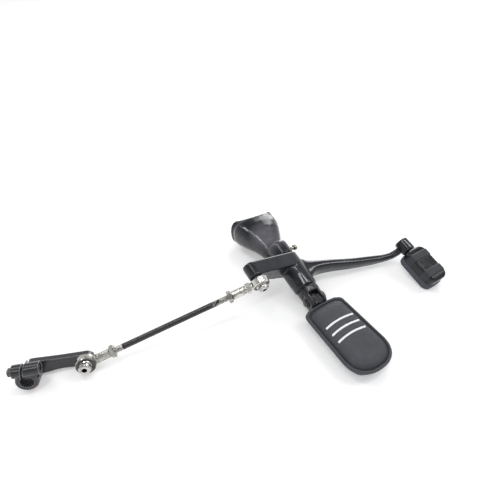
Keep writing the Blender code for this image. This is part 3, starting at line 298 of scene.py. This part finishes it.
def ramp(tree, source, stops):
    item = add_node(tree, "ShaderNodeValToRGB")
    elements = item.color_ramp.elements
    while len(elements) < len(stops):
        elements.new(1)
    for element, (place, colour) in zip(elements, stops):
        element.position = place
        element.color = (*colour, 1)
    tree.links.new(source, item.inputs["Fac"])
    return item.outputs["Color"]


def band(tree, source, low, high, from_low=0.0, from_high=1.0):
    """Map a value from one range to another, clamped."""
    item = add_node(tree, "ShaderNodeMapRange", {"From Min": from_low, "From Max": from_high,
                                                 "To Min": low, "To Max": high})
    tree.links.new(source, item.inputs["Value"])
    return item.outputs["Result"]


def maths(tree, operation, *values, clamp=True):
    item = add_node(tree, "ShaderNodeMath", operation=operation, use_clamp=clamp)
    for socket, value in zip(item.inputs, values):
        feed(tree, socket, value)
    return item.outputs["Value"]


def maths_free(tree, operation, *values):
    """As maths, but the result isn't held between 0 and 1."""
    return maths(tree, operation, *values, clamp=False)


def blend_colour(tree, factor, first, second):
    item = add_node(tree, "ShaderNodeMix", data_type="RGBA")
    tree.links.new(factor, item.inputs["Factor"])
    for key, value in (("A", first), ("B", second)):
        socket = next(s for s in item.inputs if s.name == key and s.type == "RGBA")
        if isinstance(value, tuple):
            socket.default_value = (*value, 1)
        else:
            tree.links.new(value, socket)
    return next(s for s in item.outputs if s.type == "RGBA")


def near(tree, centre, radius, soft):
    """1 within radius of a point, falling to 0 over soft, with an uneven edge."""
    gap = add_node(tree, "ShaderNodeVectorMath", operation="DISTANCE")
    tree.links.new(place_of(tree), gap.inputs[0])
    gap.inputs[1].default_value = centre
    uneven = maths_free(tree, "MULTIPLY_ADD", noise(tree, SPOT_NOISE),
                        SPOT_WOBBLE * 2, -SPOT_WOBBLE)
    total = maths_free(tree, "ADD", gap.outputs["Value"], uneven)
    return band(tree, total, 1.0, 0.0, radius, radius + soft)


def rusted(tree, colour, spots, rust):
    for centre, radius in spots:
        spot = near(tree, centre, radius, radius * RUST_SOFTNESS)
        colour = blend_colour(tree, spot, colour, rust)
    return colour


def from_origin(tree, origin):
    """Vector from a place to the shaded point."""
    shift = add_node(tree, "ShaderNodeVectorMath", operation="SUBTRACT")
    tree.links.new(place_of(tree), shift.inputs[0])
    shift.inputs[1].default_value = origin
    return shift.outputs["Vector"]


def along(tree, origin, axis):
    """Distance of a point along an axis, in metres."""
    dot = add_node(tree, "ShaderNodeVectorMath", operation="DOT_PRODUCT")
    tree.links.new(from_origin(tree, origin), dot.inputs[0])
    dot.inputs[1].default_value = axis
    return dot.outputs["Value"]


def off_axis(tree, origin, axis):
    """Distance of a point from an axis, in metres."""
    cross = add_node(tree, "ShaderNodeVectorMath", operation="CROSS_PRODUCT")
    tree.links.new(from_origin(tree, origin), cross.inputs[0])
    cross.inputs[1].default_value = axis
    length = add_node(tree, "ShaderNodeVectorMath", operation="LENGTH")
    tree.links.new(cross.outputs["Vector"], length.inputs[0])
    return length.outputs["Value"]


def bump(tree, shader, height, strength, distance):
    item = add_node(tree, "ShaderNodeBump", {"Strength": strength, "Distance": distance})
    tree.links.new(height, item.inputs["Height"])
    tree.links.new(item.outputs["Normal"], shader.inputs["Normal"])


def worn_edges(tree, limits):
    """1 on edges that stick out, broken up by noise."""
    edge = band(tree, pointiness(tree), 0.0, 1.0, *limits)
    return maths(tree, "MULTIPLY", edge, band(tree, noise(tree, 260), 0.0, 1.0, 0.52, 0.70))


def uneven(tree, scale, low, high):
    """A value between low and high that wanders over the surface."""
    return band(tree, noise(tree, scale), low, high, NOISE_LOW, NOISE_HIGH)


def set_colour(tree, shader, colour):
    tree.links.new(colour, shader.inputs["Base Color"])


def set_roughness(tree, shader, roughness):
    tree.links.new(roughness, shader.inputs["Roughness"])


# Materials

def gloss_black(name, rust_spots=(), painted_reflection=None, blur=0.045):
    """Gloss black paint with a faint orange peel, worn edges and a grey painted reflection at one place."""
    finish, tree, shader = shader_of(name)
    colour = ramp(tree, noise(tree, 55, 3), PAINT_TONES)
    # A grey patch painted in as a reflection, at one place
    if painted_reflection:
        centre, radius = painted_reflection
        reflection_patch = ramp(tree, noise(tree, 70, 4), PAINTED_REFLECTION_TONES)
        cover = near(tree, centre, radius, radius * PAINTED_REFLECTION_SOFTNESS)
        colour = blend_colour(tree, cover, colour, reflection_patch)
    colour = blend_colour(tree, worn_edges(tree, PAINT_EDGE), colour, RUBBED_PAINT)
    set_colour(tree, shader, rusted(tree, colour, rust_spots, PAINT_RUST))
    set_roughness(tree, shader, uneven(tree, 90, 0.20, 0.34))
    shader.inputs["Specular IOR Level"].default_value = 0.22
    shader.inputs["Coat Weight"].default_value = 0.55
    shader.inputs["Coat Roughness"].default_value = blur
    bump(tree, shader, noise(tree, 420, 2), 0.03, 0.0006)
    return finish


def satin_black(name, rust_spots=(), tone=1.0, coat=0.0, rim_highlight_strength=0.0):
    """Satin black coating, a little dusty and uneven, worn through along its edges, with a painted highlight along
    its sharpest edges.
    """
    finish, tree, shader = shader_of(name)
    low = tuple(channel * tone for channel in COATING_LOW)
    high = tuple(channel * tone for channel in COATING_HIGH)
    colour = ramp(tree, noise(tree, 90), [(0.3, low), (0.8, high)])
    # Painted highlight: the sharpest edges lightened
    rim = band(tree, pointiness(tree), 0.0, rim_highlight_strength, *COATING_RIM_EDGE)
    colour = blend_colour(tree, rim, colour, COATING_RIM_HIGHLIGHT)
    colour = blend_colour(tree, worn_edges(tree, COATING_EDGE), colour, RUBBED_COATING)
    set_colour(tree, shader, rusted(tree, colour, rust_spots, COATING_RUST))
    set_roughness(tree, shader, uneven(tree, 150, 0.24, 0.40))
    shader.inputs["Specular IOR Level"].default_value = 0.34
    shader.inputs["Coat Weight"].default_value = coat
    shader.inputs["Coat Roughness"].default_value = 0.12
    bump(tree, shader, noise(tree, 900, 3), 0.12, 0.0004)
    return finish


def moulded(tree, tone):
    """Colour of moulded rubber: grey bloom, rims lightened by wear and by a painted highlight, painted shade in
    the grooves and a few dust specks.
    """
    cool = tuple(tone * channel for channel in RUBBER_TINT)
    bloom = tuple(channel * BLOOM_GAIN for channel in cool)
    rim_highlight_tone = tuple(channel * RIM_HIGHLIGHT_GAIN for channel in cool)
    colour = ramp(tree, noise(tree, 42, 5), [(0.25, cool), (0.8, bloom)])
    point = pointiness(tree)
    # Painted shade: the grooves are darkened
    groove = band(tree, point, 1.0, 0.0, *RUBBER_GROOVE)
    colour = blend_colour(tree, groove, colour, GROOVE_SHADE_TONE)
    # Rims lightened: partly wear, partly a painted highlight
    rim = band(tree, point, 0.0, 0.6, *RUBBER_EDGE)
    colour = blend_colour(tree, rim, colour, rim_highlight_tone)
    specks = band(tree, noise(tree, 1900, 1), 0.0, 1.0, 0.80, 0.84)
    return blend_colour(tree, specks, colour, DUST_TONE)


def pad_rubber(name):
    """Matte rubber with a fine grain."""
    finish, tree, shader = shader_of(name)
    set_colour(tree, shader, moulded(tree, PAD_TONE))
    set_roughness(tree, shader, uneven(tree, 160, 0.48, 0.68))
    shader.inputs["Specular IOR Level"].default_value = 0.42
    bump(tree, shader, noise(tree, 3200, 2, 0.6), 0.25, 0.0002)
    return finish


def peg_masks(tree):
    """Masks of the two raised bands and of a thin line of painted shade round each."""
    place = along(tree, PEG_PLACE, OUTBOARD)
    matte = band_edge_shade = None
    for centre in PEG_BANDS:
        apart = maths_free(tree, "ABSOLUTE", maths_free(tree, "SUBTRACT", place, centre))
        inside = band(tree, apart, 1.0, 0.0, PEG_BAND_HALF - 0.0004, PEG_BAND_HALF)
        edge = maths(tree, "MULTIPLY",
                     band(tree, apart, 0.0, 1.0, PEG_BAND_HALF - 0.0002, PEG_BAND_HALF),
                     band(tree, apart, 1.0, 0.0, PEG_BAND_HALF + 0.0006,
                          PEG_BAND_HALF + 0.0009))
        matte = inside if matte is None else maths(tree, "MAXIMUM", matte, inside)
        band_edge_shade = edge if band_edge_shade is None else maths(tree, "MAXIMUM", band_edge_shade, edge)
    return matte, band_edge_shade


def peg_rubber(name):
    """Polished dark rubber, matte on the two raised bands with painted shade round them, and grey on the skirt."""
    finish, tree, shader = shader_of(name)
    matte, band_edge_shade = peg_masks(tree)
    height = along(tree, PEG_PLACE, PEG_UP)
    skirt = band(tree, height, 1.0, 0.0, PEG_SKIRT_TOP - PEG_SKIRT_BLUR,
                 PEG_SKIRT_TOP + PEG_SKIRT_BLUR)
    colour = blend_colour(tree, matte, moulded(tree, PEG_PANEL_TONE),
                          moulded(tree, PEG_BAND_TONE))
    # Painted shade along the edges of the bands
    colour = blend_colour(tree, band_edge_shade, colour, BAND_EDGE_SHADE_TONE)
    colour = blend_colour(tree, skirt, colour, moulded(tree, PEG_SKIRT_TONE))
    set_colour(tree, shader, colour)
    dull = maths(tree, "MAXIMUM", maths(tree, "MULTIPLY", matte, 0.8), skirt)
    set_roughness(tree, shader, maths(tree, "ADD", band(tree, dull, 0.16, 0.62),
                                      uneven(tree, 160, 0.0, 0.12)))
    shader.inputs["Specular IOR Level"].default_value = 0.34
    bump(tree, shader, noise(tree, 2600, 2, 0.6), 0.12, 0.0002)
    return finish


def nickel(name, bright=(0.66, 0.65, 0.61), dull=(0.20, 0.185, 0.16), rough=(0.16, 0.38),
           socket=None):
    """Plated steel, tarnished in blotches, with painted shade in the socket of a bolt's head."""
    finish, tree, shader = shader_of(name)
    blotch = noise(tree, 110, 3, 0.45, 0.3)
    colour = ramp(tree, blotch, [(0.30, dull), (0.46, bright), (0.80, bright)])
    pits = band(tree, noise(tree, 1100, 2), 0.0, 0.35, 0.72, 0.78)
    colour = blend_colour(tree, pits, colour, PIT_TONE)
    if socket:
        # Painted shade: the socket of the bolt's head darkened
        socket_shade = band(tree, off_axis(tree, *socket), 1.0, 0.0,
                    SOCKET_RADIUS - 0.0001, SOCKET_RADIUS + 0.0003)
        colour = blend_colour(tree, socket_shade, colour, SOCKET_SHADE_TONE)
    set_colour(tree, shader, colour)
    shader.inputs["Metallic"].default_value = 1
    set_roughness(tree, shader, band(tree, blotch, rough[1], rough[0], 0.35, 0.62))
    bump(tree, shader, noise(tree, 700, 2), 0.05, 0.0003)
    return finish


def bare_metal(name, patches, stops, metallic, rough, grain):
    """Metal in two tones.

    patches: scale and detail of the tones. rough: scale, low and high.
    grain: scale, detail, strength and depth of the bump.
    """
    finish, tree, shader = shader_of(name)
    set_colour(tree, shader, ramp(tree, noise(tree, *patches), stops))
    shader.inputs["Metallic"].default_value = metallic
    set_roughness(tree, shader, uneven(tree, *rough))
    scale, detail, strength, depth = grain
    bump(tree, shader, noise(tree, scale, detail), strength, depth)
    return finish


def chipped_rod(name, front_nut, rear_nut):
    """Black coating with bare thread at the nuts and chips where the front thread runs out."""
    finish, tree, shader = shader_of(name)
    place = along(tree, ROD_MIDDLE, ROD_AXIS)
    front_bare = band(tree, place, 0.0, 1.0, *(front_nut - gap for gap in FRONT_BARE))
    rear_bare = band(tree, place, 1.0, 0.0, *(rear_nut + gap for gap in REAR_BARE))
    chip_zone = band(tree, place, 0.0, CHIP_SHARE, *(front_nut - gap for gap in CHIP_ZONE))
    worn = maths(tree, "MAXIMUM", maths(tree, "MAXIMUM", front_bare, rear_bare), chip_zone)
    limit = maths_free(tree, "MULTIPLY_ADD", worn, -CHIP_LIMIT_DROP, CHIP_LIMIT)
    over = maths_free(tree, "SUBTRACT", noise(tree, 300, 3, 0.6), limit)
    bare = band(tree, over, 0.0, 1.0, 0.0, CHIP_EDGE)
    black = ramp(tree, noise(tree, 120), ROD_TONES)
    steel = ramp(tree, noise(tree, 520, 3), THREAD_TONES)
    set_colour(tree, shader, blend_colour(tree, bare, black, steel))
    tree.links.new(bare, shader.inputs["Metallic"])
    shader.inputs["Specular IOR Level"].default_value = 0.4
    shader.inputs["Coat Weight"].default_value = 0.5
    shader.inputs["Coat Roughness"].default_value = 0.08
    set_roughness(tree, shader, uneven(tree, 260, 0.22, 0.38))
    bump(tree, shader, maths_free(tree, "SUBTRACT", 1.0, bare), 0.35, 0.00008)
    return finish


def paint(finish, *names):
    for name in names:
        item = DRESSED.get(name, NODES[name])
        item.data.materials.clear()
        item.data.materials.append(finish)


# Rod with a cut helix at each end

def rod_radius(height, angle, in_front, in_rear):
    """Radius of the rod at a height and angle; the thread's crests climb with the angle."""
    if in_rear < height < in_front:
        return ROD_RADIUS
    turns = height / THREAD_PITCH - angle / (2 * pi)
    part = turns - floor(turns)
    tooth = 1 - abs(2 * part - 1)
    runout = min(1.0, max(height - in_front, in_rear - height) / THREAD_RUNOUT)
    root = THREAD_RADIUS - THREAD_DEPTH * 2
    crest = max(tooth * TOOTH_STEEPNESS - TOOTH_FLOOR, 1 - runout)
    return root + (THREAD_RADIUS - root) * min(1.0, crest)


def reach_of(name):
    """Lowest and highest point of a node along the rod, from the rod's middle."""
    heights = [(vertex.co - ROD_MIDDLE).dot(ROD_AXIS) for vertex in NODES[name].data.vertices]
    return min(heights), max(heights)


def row_heights(bottom, top, in_front, in_rear):
    """Heights of the rod's rows: close together in the threads, wide apart between them."""
    step = THREAD_PITCH / ROWS_PER_PITCH
    heights = []
    place = bottom
    while place < top:
        heights.append(place)
        plain = in_rear + step < place < in_front - PLAIN_STEP
        place += PLAIN_STEP if plain else step
    heights.append(top)
    return heights


def threaded_rod():
    front_nut = reach_of("front_jam_nut")[0]
    rear_nut = reach_of("rear_jam_nut")[1]
    bottom, top = reach_of("shift_rod")
    in_front = front_nut - THREAD_SHOWN_FRONT
    in_rear = rear_nut + THREAD_SHOWN_REAR
    shape = bmesh.new()
    rows = []
    for height in row_heights(bottom, top, in_front, in_rear):
        row = []
        for i in range(ROD_SIDES):
            angle = 2 * pi * i / ROD_SIDES
            radius = rod_radius(height, angle, in_front, in_rear)
            row.append(shape.verts.new((radius * cos(angle), radius * sin(angle), height)))
        rows.append(row)
    for lower, upper in zip(rows, rows[1:]):
        for i in range(ROD_SIDES):
            j = (i + 1) % ROD_SIDES
            shape.faces.new((lower[i], lower[j], upper[j], upper[i]))
    shape.faces.new(rows[0][::-1])
    shape.faces.new(rows[-1])
    mesh = bpy.data.meshes.new("shift_rod_threaded")
    shape.to_mesh(mesh)
    shape.free()
    turn = ROD_AXIS.to_track_quat("Z", "Y").to_matrix().to_4x4()
    mesh.transform(Matrix.Translation(ROD_MIDDLE) @ turn)
    mesh.shade_smooth()
    rod = bpy.data.objects.new("shift_rod_threaded", mesh)
    bpy.context.scene.collection.objects.link(rod)
    mesh.materials.append(chipped_rod("rod_coating", front_nut, rear_nut))
    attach(rod, "rod")
    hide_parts("shift_rod")


# Shapes of the nodes

for name, (voxel, passes) in CAST_PIECES.items():
    cast(name, voxel, passes)
for name, width in MACHINED_PIECES.items():
    machined(name, width)
threaded_rod()


# Materials of the nodes

def from_pivot(inboard, back, up):
    """Place given by its distances from the lever's pivot."""
    return tuple(PIVOT - OUTBOARD * inboard - FORWARD * back + Vector((0, 0, up)))


# Places and radii of the rust spots and of the painted reflection
FLARE_RUST = (from_pivot(0.024, 0.019, -0.006), 0.0016)
FLARE_PAINTED_REFLECTION = (from_pivot(0.047, 0.006, 0.014), 0.017)
CLAMP_LOW = Vector(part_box("inner_shift_arm")[0])
CLAMP_RUST = ((CLAMP_LOW.x + 0.020, CLAMP_LOW.y + 0.004, 0.006), 0.003)

# Sockets of the ball bolts: a place on the axis, and the axis
FRONT_SOCKET = (tuple(FRONT_BALL), tuple(OUTBOARD))
REAR_SOCKET = (tuple(REAR_BALL), tuple(REAR_BOLT_AXIS))

BALL_TONES = ((0.60, 0.59, 0.57), (0.30, 0.28, 0.25), (0.14, 0.30))
REAR_BOLT_TONES = ((0.56, 0.55, 0.53), (0.24, 0.22, 0.20), (0.14, 0.30))
STEEL_TONES = [(0.3, (0.055, 0.055, 0.058)), (0.75, (0.15, 0.145, 0.14))]
BRONZE_TONES = [(0.3, (0.24, 0.15, 0.07)), (0.8, (0.46, 0.30, 0.14))]
STRIP_TONES = [(0.3, (0.87, 0.87, 0.87)), (0.7, (0.95, 0.95, 0.95))]

paint(gloss_black("bracket_paint", [FLARE_RUST], FLARE_PAINTED_REFLECTION, blur=0.10), "support_bracket")
paint(gloss_black("lever_paint"), "shift_lever")
paint(satin_black("clevis_coating", coat=0.5), "footpeg_clevis", "footpeg_core")
paint(satin_black("arm_coating", [CLAMP_RUST], tone=0.9, coat=0.5, rim_highlight_strength=0.6),
      "inner_shift_arm")
paint(pad_rubber("pad_rubber"), "footpeg_pad")
paint(peg_rubber("peg_rubber"), "shifter_peg_rubber")
paint(nickel("front_plating"), "front_rod_end")
paint(nickel("rear_plating", (0.47, 0.46, 0.43), (0.13, 0.12, 0.10)), "rear_rod_end")
paint(nickel("front_bolt_plating", *BALL_TONES, FRONT_SOCKET), "front_ball_bolt")
paint(nickel("rear_bolt_plating", *REAR_BOLT_TONES, REAR_SOCKET), "rear_ball_bolt")
paint(nickel("ball_plating", *BALL_TONES), "front_ball", "rear_ball")
paint(nickel("nut_plating", (0.46, 0.44, 0.41), (0.16, 0.145, 0.12)),
      "front_jam_nut", "rear_jam_nut")
paint(nickel("lock_plating", (0.26, 0.24, 0.21), (0.08, 0.07, 0.06)),
      "lock_screw", "lock_screw_nut")
paint(bare_metal("dark_steel", (320, 5), STEEL_TONES, 0.85, (500, 0.28, 0.50),
                 (1300, 3, 0.18, 0.0003)),
      "thrust_washer", "hub_spring_washer", "clevis_pin", "clevis_pin_ring",
      "clevis_wave_washer", "shifter_peg_core", "front_race", "rear_race",
      "front_spacer", "rear_spacer", "pinch_bolt")
paint(bare_metal("bearing_bronze", (260, 5), BRONZE_TONES, 1, (400, 0.34, 0.52),
                 (1500, 3, 0.15, 0.0002)),
      "hub_bushing_inner", "hub_bushing_outer")
paint(bare_metal("strip_metal", (300, 4.0), STRIP_TONES, 0.15, (700, 0.22, 0.36),
                 (900, 2, 0.04, 0.0002)),
      "pad_strip_1", "pad_strip_2", "pad_strip_3")


# Floor, light and camera

def add_floor():
    """Plain pale floor. Its glow shows to the camera and in gloss, not in diffuse light."""
    bpy.ops.mesh.primitive_plane_add(size=FLOOR_SIZE, location=(0, 0, FLOOR_HEIGHT))
    floor_plane = bpy.context.object
    floor_plane.name = "floor"
    finish, tree, shader = shader_of("floor")
    shader.inputs["Base Color"].default_value = FLOOR_COLOUR
    shader.inputs["Roughness"].default_value = 0.9
    shader.inputs["Specular IOR Level"].default_value = 0.1
    shader.inputs["Emission Color"].default_value = (1, 1, 1, 1)
    path = add_node(tree, "ShaderNodeLightPath")
    seen = maths(tree, "ADD", path.outputs["Is Camera Ray"], path.outputs["Is Glossy Ray"])
    seen = maths(tree, "ADD", seen, path.outputs["Is Transmission Ray"])
    glow = maths(tree, "MULTIPLY", seen, FLOOR_GLOW)
    tree.links.new(glow, shader.inputs["Emission Strength"])
    floor_plane.data.materials.append(finish)


def add_lamp(name, place, target, size, power):
    lamp = bpy.data.lights.new(name, "AREA")
    lamp.shape = "RECTANGLE"
    lamp.size, lamp.size_y = size
    lamp.energy = power
    item = bpy.data.objects.new(name, lamp)
    bpy.context.scene.collection.objects.link(item)
    item.location = place
    item.rotation_euler = (Vector(target) - Vector(place)).to_track_quat("-Z", "Y").to_euler()
    item.visible_camera = False


def add_world():
    """Studio with pale walls and a darker ceiling, so that gloss shows a soft horizon."""
    world = bpy.data.worlds.new("studio")
    world.use_nodes = True
    bpy.context.scene.world = world
    tree = world.node_tree
    walls = tree.nodes["Background"]
    walls.inputs["Color"].default_value = STUDIO_TONE
    toward = add_node(tree, "ShaderNodeVectorMath", operation="DOT_PRODUCT")
    tree.links.new(add_node(tree, "ShaderNodeTexCoord").outputs["Generated"], toward.inputs[0])
    toward.inputs[1].default_value = (0.0, 0.0, 1.0)
    strength = band(tree, toward.outputs["Value"], WALL_STRENGTH, CEILING_STRENGTH,
                    WALL_TOP, CEILING_EDGE)
    tree.links.new(strength, walls.inputs["Strength"])


def add_camera():
    lens = bpy.data.cameras.new("camera")
    lens.lens = CAMERA_LENS
    lens.sensor_width = SENSOR
    camera = bpy.data.objects.new("camera", lens)
    bpy.context.scene.collection.objects.link(camera)
    camera.location = CAMERA_PLACE
    camera.rotation_euler = (radians(90 - CAMERA_DOWN), 0, 0)
    bpy.context.scene.camera = camera


add_floor()
for lamp in LAMPS:
    add_lamp(*lamp)
add_world()
add_camera()
bpy.context.scene.view_settings.view_transform = "Standard"
